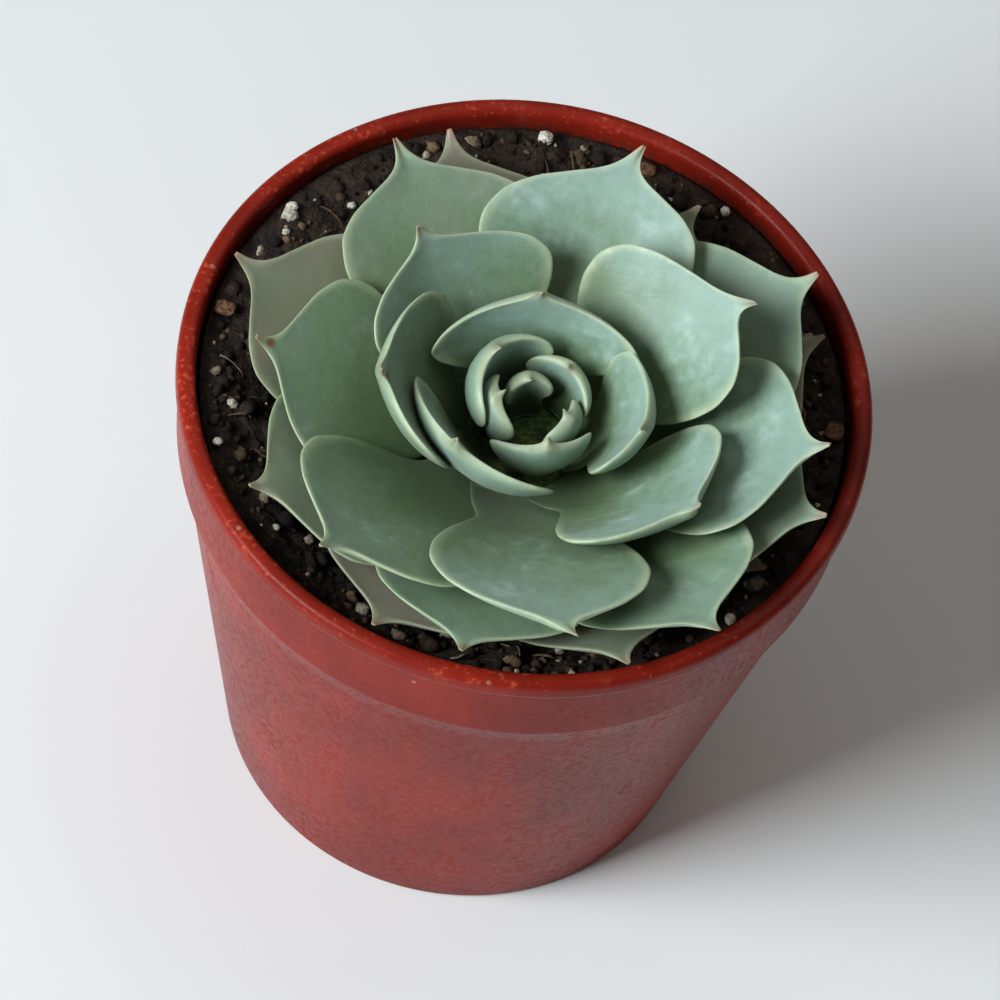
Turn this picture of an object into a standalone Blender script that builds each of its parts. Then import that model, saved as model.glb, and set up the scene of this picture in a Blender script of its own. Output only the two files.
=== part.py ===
"""Potted rosette succulent: a round nursery pot, its soil, a short stem and the leaves round it.

Sizes are millimetres until a mesh is made. The origin is the middle of the pot's foot, +Z is up
and the side that the plant is looked at from is -Y. Leaves are counted from the bud outwards.
"""

import math

import bmesh
import bpy
import numpy as np
from mathutils import Matrix

METRES_PER_MM = 0.001
MERGE_DISTANCE = 0.0001
SHARP_ANGLE = 40.0
CLEARANCE = 0.3

# Pot
POT_HEIGHT = 48.0
RIM_RADIUS = 27.5
BASE_RADIUS = 19.0
WALL = 0.8
RIM_BEAD = 1.5
COLLAR_DEPTH = 9.0
COLLAR_STEP = 0.6
COLLAR_CHAMFER = 0.4
FLOOR_LIFT = 1.6
FLOOR_THICKNESS = 1.2
FLOOR_CORNER = 1.0
FOOT_WIDTH = 2.4
FOOT_CHAMFER = 0.6
FOOT_SLOPE = 0.5
DRAIN_HOLE_RADIUS = 2.0
DRAIN_RING_RADIUS = 10.5
DRAIN_HOLE_COUNT = 6
DRAIN_SEGMENTS = 16
POT_SEGMENTS = 64
BEAD_SEGMENTS = 6

# Stem
STEM_RADIUS = 4.3
STEM_DOME_HEIGHT = 2.2
STEM_TOP_BELOW_RIM = 0.0
STEM_ROOT_LENGTH = 12.0
STEM_ROOT_CHAMFER = 1.0
STEM_X = 0.9
STEM_Y = -3.9
STEM_SEGMENTS = 20
STEM_DOME_SEGMENTS = 5

# Rosette
LEAF_COUNT = 31
DOME_LEAF_COUNT = 10
FIRST_LEAF_TURN = 117.1
LEAF_TURN = -136.7
LONGEST_LEAF = 22.3
SHORTEST_LEAF = 3.2
LEAF_LENGTH_MIDDLE = 8.0
LEAF_LENGTH_SPREAD = 2.4
WIDEST_LEAF = 17.4
NARROWEST_LEAF = 3.0
LEAF_WIDTH_MIDDLE = 4.8
LEAF_WIDTH_SPREAD = 1.7
LEAF_EDGE = 0.45
LEAF_EDGE_SLANT = 0.3
LEAF_MIDDLE = 1.3
LEAF_NECK = 0.6
LEAF_NEST = 0.74
LEAF_DROP = (LEAF_MIDDLE - LEAF_NEST) / 3.0
NECK_WIDTH = 0.19
BUD_NECK_WIDTH = 0.7

# The inner leaves lean together, by this many degrees, towards one side
LEAN = 14.0
LEAN_TOWARDS = -35.0
LEAN_FADES_AT = 12.0
LEAN_FADE_SPREAD = 1.1

# Rise of a leaf above level, in degrees, at some leaves counted from 0 at the bud
RISE_PLACES = (0, 4, 8, 10, 12, 14, 16, 20, 30)
RISES = (86.0, 78.0, 72.0, 54.0, 41.5, 34.5, 29.5, 25.7, 17.4)

# Upward bend of a leaf from its base to its tip, in degrees: in the bud, and outside it
BUD_BEND = 46.0
OUTER_BEND = -4.0
OUTER_BEND_FROM = 12.0

# Half outline of a leaf: share of its length, share of its half width
OUTLINE = (
    (0.0, NECK_WIDTH),
    (0.12, NECK_WIDTH + 0.06),
    (0.26, 0.54),
    (0.4, 0.83),
    (0.51, 0.96),
    (0.6, 1.0),
    (0.7, 0.93),
    (0.78, 0.73),
    (0.84, 0.44),
    (0.88, 0.23),
    (0.91, 0.13),
    (0.945, 0.07),
    (1.0, 0.02),
)
LEAF_STATIONS = (0.0, 0.12, 0.25, 0.37, 0.49, 0.6, 0.7, 0.78, 0.84, 0.885, 0.93, 1.0)
LEAF_ACROSS = (-1.0, -0.55, 0.0, 0.55, 1.0)

# Leaves that grew out of the spiral. Number: extra turn, stretch, extra rise and bend, tip skew
ODD_LEAVES = {
    1: (0.0, 1.3, -8.0, 0.0, 0.0),
    2: (0.0, 1.3, 15.0, 0.0, 0.0),
    3: (0.0, 1.45, 0.0, 0.0, 0.0),
    4: (-10.0, 1.15, 4.0, 0.0, 0.0),
    5: (0.0, 1.15, 12.0, 8.0, 0.0),
    6: (0.0, 1.15, -3.0, 4.0, 0.0),
    7: (-14.0, 1.2, -3.0, 0.0, -0.6),
    8: (-2.0, 1.12, -12.0, -6.0, 0.0),
    9: (-2.0, 0.86, -6.0, 8.0, 0.0),
    10: (0.0, 1.14, -8.2, 0.0, 0.0),
    11: (0.0, 0.94, -5.2, 0.0, 0.3),
    12: (-9.0, 1.03, 1.0, 0.0, -0.5),
    13: (4.0, 1.24, -4.2, -8.0, 0.3),
    14: (-3.0, 0.82, 6.0, 6.0, 0.1),
    15: (-5.0, 1.05, -0.6, 0.0, 0.0),
    16: (8.5, 1.02, -3.2, 0.0, 0.0),
    17: (-4.0, 1.02, 0.8, 0.0, -0.25),
    18: (0.0, 1.1, -0.9, 0.0, 0.0),
    19: (5.0, 0.9, -1.1, 0.0, 0.0),
    20: (0.0, 1.05, 0.0, 0.0, 0.0),
    21: (4.0, 0.965, -1.6, 0.0, 0.0),
    22: (-2.0, 1.04, 0.0, 0.0, 0.15),
    23: (0.0, 0.98, 0.0, 0.0, 0.0),
    24: (0.0, 0.94, -0.5, 0.0, 0.0),
    25: (-5.0, 0.94, 1.3, 0.0, -0.2),
    26: (0.0, 0.91, -0.1, 0.0, 0.0),
    27: (0.0, 1.06, 0.0, 0.0, 0.0),
    28: (7.0, 0.98, -1.1, 0.0, 0.0),
    29: (-1.0, 0.85, -0.5, 0.0, 0.0),
    30: (2.0, 1.08, 0.0, 0.0, 0.0),
    31: (5.0, 0.8, -0.8, 0.0, 0.0),
}

# Soil
SOIL_BELOW_RIM = 1.8
SOIL_SHOULDER_RADIUS = RIM_RADIUS - 0.5
SOIL_UNDER_LEAVES = 2.65
SOIL_DISH_DEPTH = LEAF_DROP * (LEAF_COUNT - DOME_LEAF_COUNT) + SOIL_UNDER_LEAVES
SOIL_DISH_RADIUS = 8.0
SOIL_RIPPLE = 0.25
SOIL_SEGMENTS = 48
SOIL_RINGS = (0.0, 0.2, 0.4, 0.6, 0.8, 1.0)

# Loose grains on the soil: name, turn round the pot's middle, distance in from the rim, size
PERLITE_GRAINS = (
    ("perlite_1", 97.0, 3.1, 1.5),
    ("perlite_2", 150.0, 2.9, 1.2),
    ("perlite_3", 60.0, 2.9, 1.1),
    ("perlite_4", 322.0, 2.7, 1.2),
    ("perlite_5", 205.0, 2.7, 1.0),
)
PERLITE_DEPTH = 0.85
PERLITE_HEIGHT = 0.7
BARK_CHIPS = (
    ("bark_chip_1", 78.0, 3.5, 2.4),
    ("bark_chip_2", 176.0, 3.0, 1.6),
    ("bark_chip_3", 8.0, 2.8, 1.8),
)
BARK_DEPTH = 0.5
BARK_HEIGHT = 0.3
BARK_BEVEL = 0.08

TERRACOTTA_RED = (0.245, 0.030, 0.016)
PEAT = (0.016, 0.012, 0.008)
STEM_GREEN = (0.20, 0.24, 0.11)
YOUNG_LEAF = (0.20, 0.33, 0.14)
GREY_GREEN_LEAF = (0.30, 0.46, 0.36)
OLD_LEAF = (0.26, 0.29, 0.22)
PERLITE_WHITE = (0.62, 0.60, 0.52)
BARK_BROWN = (0.11, 0.06, 0.03)
POT_ROUGHNESS = 0.32
LEAF_ROUGHNESS = 0.55
STEM_ROUGHNESS = 0.6
EARTH_ROUGHNESS = 0.92


def clear_scene():
    """Remove every object, so that the script can be run again in an open file."""
    for thing in list(bpy.data.objects):
        bpy.data.objects.remove(thing, do_unlink=True)


def make_material(name, colour, roughness):
    """Return a plain Principled material."""
    material = bpy.data.materials.new(name)
    material.use_nodes = True
    shader = material.node_tree.nodes["Principled BSDF"]
    shader.inputs["Base Color"].default_value = (*colour, 1.0)
    shader.inputs["Roughness"].default_value = roughness
    shader.inputs["Metallic"].default_value = 0.0
    return material


def add_object(name, shape, material):
    """Turn a bmesh in millimetres into a named, smooth-shaded object in metres."""
    bmesh.ops.scale(shape, vec=(METRES_PER_MM,) * 3, verts=shape.verts)
    if shape.calc_volume(signed=True) < 0.0:
        bmesh.ops.reverse_faces(shape, faces=shape.faces)
    mesh = bpy.data.meshes.new(name)
    shape.to_mesh(mesh)
    shape.free()
    mesh.shade_smooth()
    mesh.set_sharp_from_angle(angle=math.radians(SHARP_ANGLE))
    mesh.materials.append(material)
    thing = bpy.data.objects.new(name, mesh)
    bpy.context.collection.objects.link(thing)
    return thing


def loft(shape, rings):
    """Join rings of points, each ring closed, and close both ends."""
    rows = [[shape.verts.new(point) for point in ring] for ring in rings]
    count = len(rows[0])
    for lower, upper in zip(rows, rows[1:]):
        for i in range(count):
            j = (i + 1) % count
            shape.faces.new((lower[i], lower[j], upper[j], upper[i]))
    shape.faces.new(reversed(rows[0]))
    shape.faces.new(rows[-1])


def spin_profile(profile, segments, x=0.0, y=0.0):
    """Turn a profile of (radius, height) points, with both ends on it, round a vertical line."""
    shape = bmesh.new()
    points = [shape.verts.new((x + radius, y, height)) for radius, height in profile]
    edges = [shape.edges.new(pair) for pair in zip(points, points[1:])]
    bmesh.ops.spin(
        shape,
        geom=points + edges,
        cent=(x, y, 0.0),
        axis=(0.0, 0.0, 1.0),
        angle=math.tau,
        steps=segments,
        use_merge=True,
    )
    bmesh.ops.remove_doubles(shape, verts=shape.verts, dist=MERGE_DISTANCE)
    return shape


def arc(centre, radius, start, end, steps):
    """Return points on an arc in the (radius, height) plane, angles in degrees."""
    angles = np.radians(np.linspace(start, end, steps + 1))
    return [(centre[0] + radius * math.cos(a), centre[1] + radius * math.sin(a)) for a in angles]


def shoulder_height():
    """Return the height of the step between the pot's body and its collar."""
    return POT_HEIGHT - COLLAR_DEPTH


def floor_top():
    """Return the height of the inside of the pot's floor."""
    return FLOOR_LIFT + FLOOR_THICKNESS


def outer_wall_radius(height):
    """Return the pot body's outer radius at a height, below the collar."""
    top_radius = RIM_RADIUS - RIM_BEAD / 2.0 - COLLAR_STEP
    return BASE_RADIUS + (top_radius - BASE_RADIUS) * height / shoulder_height()


def inner_wall_radius(height):
    """Return the pot's inner radius at a height: the body's wall, then the straighter collar."""
    body = outer_wall_radius(min(height, shoulder_height())) - WALL
    rim = RIM_RADIUS - RIM_BEAD
    share = max(0.0, (height - shoulder_height()) / COLLAR_DEPTH)
    return body + (rim - body) * share


def build_pot():
    """Turn the pot's wall, collar and rim bead, then cut the drain holes."""
    shoulder = shoulder_height()
    floor = floor_top()
    bead = RIM_BEAD / 2.0
    inside = [
        (0.0, floor),
        (inner_wall_radius(floor) - FLOOR_CORNER, floor),
        (inner_wall_radius(floor + FLOOR_CORNER), floor + FLOOR_CORNER),
        (inner_wall_radius(shoulder), shoulder),
    ]
    rim = arc((RIM_RADIUS - bead, POT_HEIGHT - bead), bead, 180.0, -20.0, BEAD_SEGMENTS)
    outside = [
        (RIM_RADIUS - 0.35 * bead, POT_HEIGHT - 2.4 * bead),
        (RIM_RADIUS - bead, shoulder + COLLAR_CHAMFER),
        (outer_wall_radius(shoulder), shoulder - COLLAR_CHAMFER),
        (outer_wall_radius(FOOT_CHAMFER), FOOT_CHAMFER),
        (BASE_RADIUS, 0.0),
        (BASE_RADIUS - FOOT_WIDTH, 0.0),
        (BASE_RADIUS - FOOT_WIDTH - FOOT_SLOPE, FLOOR_LIFT),
        (0.0, FLOOR_LIFT),
    ]
    material = make_material("pot_plastic", TERRACOTTA_RED, POT_ROUGHNESS)
    pot = add_object("pot", spin_profile(inside + rim + outside, POT_SEGMENTS), material)
    cut_drain_hole(pot, 0.0, 0.0, 0)
    for i in range(DRAIN_HOLE_COUNT):
        turn = math.tau * i / DRAIN_HOLE_COUNT
        x = DRAIN_RING_RADIUS * math.cos(turn)
        y = DRAIN_RING_RADIUS * math.sin(turn)
        cut_drain_hole(pot, x, y, i + 1)


def cut_drain_hole(pot, x, y, index):
    """Cut one round hole through the pot's floor with a Boolean."""
    shape = bmesh.new()
    bmesh.ops.create_cone(
        shape,
        cap_ends=True,
        segments=DRAIN_SEGMENTS,
        radius1=DRAIN_HOLE_RADIUS,
        radius2=DRAIN_HOLE_RADIUS,
        depth=4.0 * FLOOR_THICKNESS,
    )
    middle = FLOOR_LIFT + FLOOR_THICKNESS / 2.0
    bmesh.ops.translate(shape, vec=(x, y, middle), verts=shape.verts)
    cutter = add_object(f"drain_cutter_{index}", shape, pot.data.materials[0])
    cutter.hide_render = True
    cutter.display_type = "WIRE"
    cut = pot.modifiers.new(f"drain_{index}", "BOOLEAN")
    cut.operation = "DIFFERENCE"
    cut.solver = "EXACT"
    cut.object = cutter


def soil_height(radius):
    """Return the soil's height at a distance from the stem: level near the wall, dished inside."""
    reach = SOIL_SHOULDER_RADIUS - SOIL_DISH_RADIUS
    share = np.clip((SOIL_SHOULDER_RADIUS - radius) / reach, 0.0, 1.0)
    return POT_HEIGHT - SOIL_BELOW_RIM - SOIL_DISH_DEPTH * share * share * (3.0 - 2.0 * share)


def soil_ripple(x, y):
    """Return a small uneven lift of the soil at a place."""
    broad = np.sin(0.9 * x + 0.7) * np.cos(0.8 * y)
    slanted = 0.6 * np.sin(0.5 * x - 1.1 * y + 2.0)
    return SOIL_RIPPLE * (broad + slanted)


def level_ring(radius, height, x=0.0, y=0.0):
    """Return a level ring of points round a vertical line."""
    turns = np.linspace(0.0, math.tau, SOIL_SEGMENTS, endpoint=False)
    heights = np.full(SOIL_SEGMENTS, height)
    return np.column_stack((x + radius * np.cos(turns), y + radius * np.sin(turns), heights))


def build_soil():
    """Loft the soil from the floor of the stem's socket, over its dished top, to the pot's floor."""
    socket = level_ring(STEM_RADIUS + CLEARANCE, stem_root_height() - CLEARANCE, STEM_X, STEM_Y)
    wall = level_ring(inner_wall_radius(POT_HEIGHT - SOIL_BELOW_RIM) - CLEARANCE, 0.0)
    rings = [socket]
    for share in SOIL_RINGS:
        ring = (1.0 - share) * socket + share * wall
        x, y = ring[:, 0], ring[:, 1]
        calm = 4.0 * share * (1.0 - share)
        ring[:, 2] = soil_height(np.hypot(x - STEM_X, y - STEM_Y)) + calm * soil_ripple(x, y)
        rings.append(ring)
    bottom = floor_top() + CLEARANCE
    for height in (shoulder_height(), bottom + FLOOR_CORNER):
        rings.append(level_ring(inner_wall_radius(height) - CLEARANCE, height))
    rings.append(level_ring(inner_wall_radius(bottom) - CLEARANCE - FLOOR_CORNER, bottom))
    shape = bmesh.new()
    loft(shape, rings)
    add_object("soil", shape, make_material("peat_soil", PEAT, EARTH_ROUGHNESS))


def stem_top_height():
    """Return the height of the stem's growing tip."""
    return POT_HEIGHT - STEM_TOP_BELOW_RIM


def stem_root_height():
    """Return the height of the stem's lower end, in the soil."""
    return stem_top_height() - STEM_DOME_HEIGHT - STEM_ROOT_LENGTH


def build_stem():
    """Turn the short thick stem with its domed growing tip."""
    top = stem_top_height()
    root = stem_root_height()
    profile = [(0.0, top)]
    for i in range(1, STEM_DOME_SEGMENTS + 1):
        angle = math.radians(90.0 * i / STEM_DOME_SEGMENTS)
        profile.append((STEM_RADIUS * math.sin(angle), top - STEM_DOME_HEIGHT * (1.0 - math.cos(angle))))
    profile.append((STEM_RADIUS, root + STEM_ROOT_CHAMFER))
    profile.append((STEM_RADIUS - STEM_ROOT_CHAMFER, root))
    profile.append((0.0, root))
    shape = spin_profile(profile, STEM_SEGMENTS, STEM_X, STEM_Y)
    add_object("stem", shape, make_material("stem_skin", STEM_GREEN, STEM_ROUGHNESS))


def swell(order, smallest, largest, middle, spread):
    """Return a size that grows along an S-shaped curve with a leaf's order from the bud."""
    return smallest + (largest - smallest) / (1.0 + math.exp(-(order - middle) / spread))


def leaf_base(order):
    """Return the radius and height, on the stem's skin, where a leaf is attached."""
    radius = STEM_RADIUS * math.sqrt(min(1.0, (order + 0.6) / DOME_LEAF_COUNT))
    inset = radius / STEM_RADIUS
    on_dome = STEM_DOME_HEIGHT * (1.0 - math.sqrt(max(0.0, 1.0 - inset * inset)))
    below = LEAF_DROP * max(0.0, order + 0.6 - DOME_LEAF_COUNT)
    return radius + CLEARANCE, stem_top_height() - on_dome - below + CLEARANCE * (1.0 - inset)


def leaf_midrib(order, length, turn, extra_rise, extra_bend):
    """Return the midrib as arrays: distance along it, radius, height and slope in radians."""
    lean = LEAN / (1.0 + math.exp((order - LEAN_FADES_AT) / LEAN_FADE_SPREAD))
    rise = np.interp(order, RISE_PLACES, RISES) + extra_rise
    rise -= lean * math.cos(math.radians(turn - LEAN_TOWARDS))
    share = min(1.0, order / OUTER_BEND_FROM)
    bend = BUD_BEND + (OUTER_BEND - BUD_BEND) * share + extra_bend
    along = np.linspace(0.0, 1.4 * length, 71)
    slope = np.radians(rise + bend * (np.minimum(along / length, 1.1) - 0.5))
    middle_slope = (slope[1:] + slope[:-1]) / 2.0
    radius, height = leaf_base(order)
    radii = radius + np.concatenate(([0.0], np.cumsum(np.cos(middle_slope) * along[1])))
    heights = height + np.concatenate(([0.0], np.cumsum(np.sin(middle_slope) * along[1])))
    return along, radii, heights, slope


def leaf_rings(order):
    """Return a leaf's cross sections, each a ring of points, from its neck to its tip.

    The upper face lies on the surface that the midrib sweeps round the stem, so a leaf wraps the
    leaves inside it, and its thickness is laid under that face.
    """
    extra_turn, stretch, extra_rise, extra_bend, skew = ODD_LEAVES.get(order + 1, (0.0, 1.0, 0.0, 0.0, 0.0))
    turn = FIRST_LEAF_TURN + LEAF_TURN * order + extra_turn
    length = stretch * swell(order, SHORTEST_LEAF, LONGEST_LEAF, LEAF_LENGTH_MIDDLE, LEAF_LENGTH_SPREAD)
    half_width = 0.5 * swell(order, NARROWEST_LEAF, WIDEST_LEAF, LEAF_WIDTH_MIDDLE, LEAF_WIDTH_SPREAD)
    along, radii, heights, slope = leaf_midrib(order, length, turn, extra_rise, extra_bend)
    thin = min(1.0, 0.35 + length / LONGEST_LEAF)
    neck = max(NECK_WIDTH, BUD_NECK_WIDTH * (1.0 - order / DOME_LEAF_COUNT))
    across = np.array(LEAF_ACROSS + LEAF_ACROSS[::-1])
    upper = len(LEAF_ACROSS)
    rings = []
    for station in LEAF_STATIONS:
        half = half_width * max(np.interp(station, *zip(*OUTLINE)), neck if station < 0.5 else 0.0)
        body = math.sin(math.pi * min(1.0, station * 1.05 + 0.02)) ** 0.6
        middle = thin * (LEAF_NECK + (LEAF_MIDDLE - LEAF_NECK) * body)
        edge = min(thin * LEAF_EDGE, middle)
        depth = edge + (middle - edge) * (1.0 - across ** 2)
        depth[:upper] = 0.0
        side = across * half + skew * half_width * station ** 5
        side[upper] -= LEAF_EDGE_SLANT * edge
        side[-1] += LEAF_EDGE_SLANT * edge
        s = station * length
        radius = np.interp(s, along, radii)
        cosine = max(1e-4, abs(math.cos(np.interp(s, along, slope))))
        wrap = np.arctan(side * cosine / radius) / cosine
        cone = radius / cosine
        s_here = s + side ** 2 / (cone + np.sqrt(cone ** 2 + side ** 2))
        tilt = np.interp(s_here, along, slope)
        r_here = np.interp(s_here, along, radii) + depth * np.sin(tilt)
        z_here = np.interp(s_here, along, heights) - depth * np.cos(tilt)
        angle = math.radians(turn) + wrap
        x_here = STEM_X + r_here * np.cos(angle)
        y_here = STEM_Y + r_here * np.sin(angle)
        rings.append(np.column_stack((x_here, y_here, z_here)))
    return rings


def leaf_colour(order):
    """Return a leaf's colour: fresh green in the bud, grey green outside, duller when old."""
    young, grey, old = np.array(YOUNG_LEAF), np.array(GREY_GREEN_LEAF), np.array(OLD_LEAF)
    if order < DOME_LEAF_COUNT:
        share = order / DOME_LEAF_COUNT
        return tuple(young * (1.0 - share) + grey * share)
    share = (order - DOME_LEAF_COUNT) / (LEAF_COUNT - DOME_LEAF_COUNT)
    return tuple(grey * (1.0 - share) + old * share)


def build_leaves():
    """Build the rosette, one leaf at a time from the bud outwards."""
    for order in range(LEAF_COUNT):
        shape = bmesh.new()
        loft(shape, leaf_rings(order))
        name = f"leaf_{order + 1:02d}"
        add_object(name, shape, make_material(name, leaf_colour(order), LEAF_ROUGHNESS))


def lay_grain(name, shape, turn, inset, half_height, material):
    """Turn a grain, lay it just clear of the soil at its distance in from the rim, and add it."""
    distance = RIM_RADIUS - inset
    x = distance * math.cos(math.radians(turn))
    y = distance * math.sin(math.radians(turn))
    z = soil_height(math.hypot(x - STEM_X, y - STEM_Y)) + CLEARANCE + half_height
    facing = Matrix.Rotation(math.radians(7.0 * turn), 3, "Z")
    bmesh.ops.rotate(shape, cent=(0.0, 0.0, 0.0), matrix=facing, verts=shape.verts)
    bmesh.ops.translate(shape, vec=(x, y, z), verts=shape.verts)
    add_object(name, shape, material)


def build_grains():
    """Lay the loose perlite grains and bark chips on the soil between the leaves and the wall."""
    perlite = make_material("perlite", PERLITE_WHITE, EARTH_ROUGHNESS)
    for name, turn, inset, size in PERLITE_GRAINS:
        shape = bmesh.new()
        bmesh.ops.create_icosphere(shape, subdivisions=1, radius=size / 2.0)
        bmesh.ops.scale(shape, vec=(1.0, PERLITE_DEPTH, PERLITE_HEIGHT), verts=shape.verts)
        lay_grain(name, shape, turn, inset, PERLITE_HEIGHT * size / 2.0, perlite)
    bark = make_material("bark", BARK_BROWN, EARTH_ROUGHNESS)
    for name, turn, inset, size in BARK_CHIPS:
        shape = bmesh.new()
        bmesh.ops.create_cube(shape, size=size)
        bmesh.ops.scale(shape, vec=(1.0, BARK_DEPTH, BARK_HEIGHT), verts=shape.verts)
        bmesh.ops.bevel(
            shape,
            geom=list(shape.edges),
            offset=BARK_BEVEL * size,
            offset_type="OFFSET",
            segments=1,
            profile=0.5,
            affect="EDGES",
        )
        lay_grain(name, shape, turn, inset, BARK_HEIGHT * size / 2.0, bark)


def main():
    """Build every piece of the potted plant."""
    clear_scene()
    build_pot()
    build_soil()
    build_stem()
    build_leaves()
    build_grains()


main()
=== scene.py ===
"""Looks of the potted rosette succulent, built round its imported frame.

Lengths are millimetres until a mesh is made. The origin is the middle of the pot's foot, +Z is up
and the plant is looked at from -Y. Leaves are counted from the bud outwards.
"""

import logging
import math
from dataclasses import dataclass, field
from enum import Enum
from typing import Any

import bpy
import numpy as np
from mathutils import Matrix, Vector


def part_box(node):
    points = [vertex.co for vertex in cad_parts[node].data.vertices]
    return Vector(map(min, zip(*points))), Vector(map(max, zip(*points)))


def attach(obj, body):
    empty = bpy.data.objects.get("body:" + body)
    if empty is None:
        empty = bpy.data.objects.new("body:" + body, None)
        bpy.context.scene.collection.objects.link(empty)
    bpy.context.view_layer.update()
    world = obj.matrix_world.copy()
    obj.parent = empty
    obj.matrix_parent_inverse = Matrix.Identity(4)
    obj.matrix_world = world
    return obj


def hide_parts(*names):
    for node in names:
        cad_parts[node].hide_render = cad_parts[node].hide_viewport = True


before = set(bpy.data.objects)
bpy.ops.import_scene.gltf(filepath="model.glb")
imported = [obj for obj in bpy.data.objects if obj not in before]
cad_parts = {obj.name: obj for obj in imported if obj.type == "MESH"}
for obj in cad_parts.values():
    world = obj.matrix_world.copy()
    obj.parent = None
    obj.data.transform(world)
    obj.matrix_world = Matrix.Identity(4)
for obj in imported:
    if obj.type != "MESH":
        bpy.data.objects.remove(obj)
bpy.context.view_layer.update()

LOG = logging.getLogger("potted_succulent")
METRES_PER_MM = 0.001
ROOT_BODY = "root"
CLEARANCE = 0.3


# Surfaces


def srgb(red: int, green: int, blue: int) -> tuple[float, float, float, float]:
    """Turn a display colour, 0 to 255 a channel, into linear light with full alpha.

    Args:
        red: Red channel.
        green: Green channel.
        blue: Blue channel.

    Returns:
        The linear colour.
    """
    shown = np.array((red, green, blue)) / 255.0
    linear = np.where(shown <= 0.04045, shown / 12.92, ((shown + 0.055) / 1.055) ** 2.4)
    return (*linear.tolist(), 1.0)


def smooth_curve(places: Any, values: Any, at: np.ndarray) -> np.ndarray:
    """Read a smooth curve that passes through points and never overshoots them.

    Each stretch is the cubic with the harmonic mean of the neighbouring slopes at its ends.

    Args:
        places: Rising positions of the points.
        values: Heights of the points.
        at: Positions to read.

    Returns:
        The curve's heights there.
    """
    x, y = np.asarray(places, float), np.asarray(values, float)
    step = np.diff(x)
    secant = np.diff(y) / step
    product = secant[1:] * secant[:-1]
    total = np.where(np.abs(secant[1:] + secant[:-1]) < 1e-12, 1.0, secant[1:] + secant[:-1])
    inner = np.where(product > 0.0, 2.0 * product / total, 0.0)
    slope = np.concatenate((secant[:1], inner, secant[-1:]))
    i = np.clip(np.searchsorted(x, at, side="right") - 1, 0, len(step) - 1)
    t = np.clip((at - x[i]) / step[i], 0.0, 1.0)
    rise = (1.0 + 2.0 * t) * (1.0 - t) ** 2 * y[i] + t * t * (3.0 - 2.0 * t) * y[i + 1]
    lean = t * (1.0 - t) ** 2 * slope[i] - t * t * (1.0 - t) * slope[i + 1]
    return rise + step[i] * lean


def fade(low: float, high: float, at: np.ndarray) -> np.ndarray:
    """Rise smoothly from 0 at low to 1 at high: 3 t squared less 2 t cubed."""
    t = np.clip((at - low) / (high - low), 0.0, 1.0)
    return t * t * (3.0 - 2.0 * t)


def lattice_noise(x: np.ndarray, y: np.ndarray, z: np.ndarray, seed: int) -> np.ndarray:
    """Blend random values, from -1 to 1, held at whole-number points of space.

    Args:
        x: First coordinate, in cells.
        y: Second coordinate, in cells.
        z: Third coordinate, in cells.
        seed: Which set of random values to use.

    Returns:
        The blended value at each place.
    """
    table = np.random.default_rng(seed).random(4096) * 2.0 - 1.0
    x, y, z = np.broadcast_arrays(x, y, z)
    whole = [np.floor(c).astype(np.int64) for c in (x, y, z)]
    part = [c - w for c, w in zip((x, y, z), whole)]
    ease = [p * p * (3.0 - 2.0 * p) for p in part]
    total = np.zeros(x.shape)
    for i, j, k in np.ndindex(2, 2, 2):
        cell = (whole[0] + i) * 73856093 ^ (whole[1] + j) * 19349663 ^ (whole[2] + k) * 83492791
        share = 1.0
        for corner, e in zip((i, j, k), ease):
            share = share * (e if corner else 1.0 - e)
        total = total + share * table[cell & 4095]
    return total


@dataclass
class Skin:
    """A closed surface in the making: its points, its faces and what is written on its points."""

    points: np.ndarray
    faces: list[Any]
    notes: dict[str, np.ndarray] = field(default_factory=dict)

    def volume(self) -> float:
        """Return the signed volume: the sum over triangles of a . (b x c) / 6."""
        total = 0.0
        for block in self.faces:
            corners = self.points[block]
            for k in range(1, block.shape[1] - 1):
                a, b, c = corners[:, 0], corners[:, k], corners[:, k + 1]
                total += float(np.einsum("ij,ij->", a, np.cross(b, c))) / 6.0
        return total

    def object(self, name: str) -> bpy.types.Object:
        """Make the named, smooth-shaded object, in metres, with its faces pointing outwards.

        Args:
            name: The piece's name.

        Returns:
            The object, linked to the scene.
        """
        turned = self.volume() < 0.0
        faces = [face[::-1] if turned else face for block in self.faces for face in block.tolist()]
        mesh = bpy.data.meshes.new(name)
        mesh.from_pydata((self.points * METRES_PER_MM).tolist(), [], faces)
        for label, values in self.notes.items():
            layer = mesh.attributes.new(label, "FLOAT", "POINT")
            layer.data.foreach_set("value", np.ascontiguousarray(values, dtype=np.float32))
        mesh.shade_smooth()
        mesh.update()
        piece = bpy.data.objects.new(name, mesh)
        bpy.context.scene.collection.objects.link(piece)
        return piece


def closed_tube(rings: np.ndarray, notes: dict[str, np.ndarray] | None = None) -> Skin:
    """Skin a stack of closed rings, shaped (rings, points, 3), with a pole at either end.

    Each pole is the mean of its end ring, and each end is a fan of triangles round it.

    Args:
        rings: The rings' points.
        notes: Values to keep on the points, each shaped (rings, points).

    Returns:
        The closed skin.
    """
    count, around = rings.shape[:2]
    index = np.arange(count * around).reshape(count, around)
    after = np.roll(index, -1, axis=1)
    quads = np.stack((index[:-1], after[:-1], after[1:], index[1:]), axis=-1).reshape(-1, 4)
    first, last = count * around, count * around + 1
    start = np.column_stack((after[0], index[0], np.full(around, first)))
    end = np.column_stack((index[-1], after[-1], np.full(around, last)))
    points = np.vstack((rings.reshape(-1, 3), rings[0].mean(axis=0), rings[-1].mean(axis=0)))
    kept = {}
    for label, values in (notes or {}).items():
        kept[label] = np.concatenate((values.ravel(), (values[0].mean(), values[-1].mean())))
    return Skin(points, [quads, np.vstack((start, end))], kept)


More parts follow.
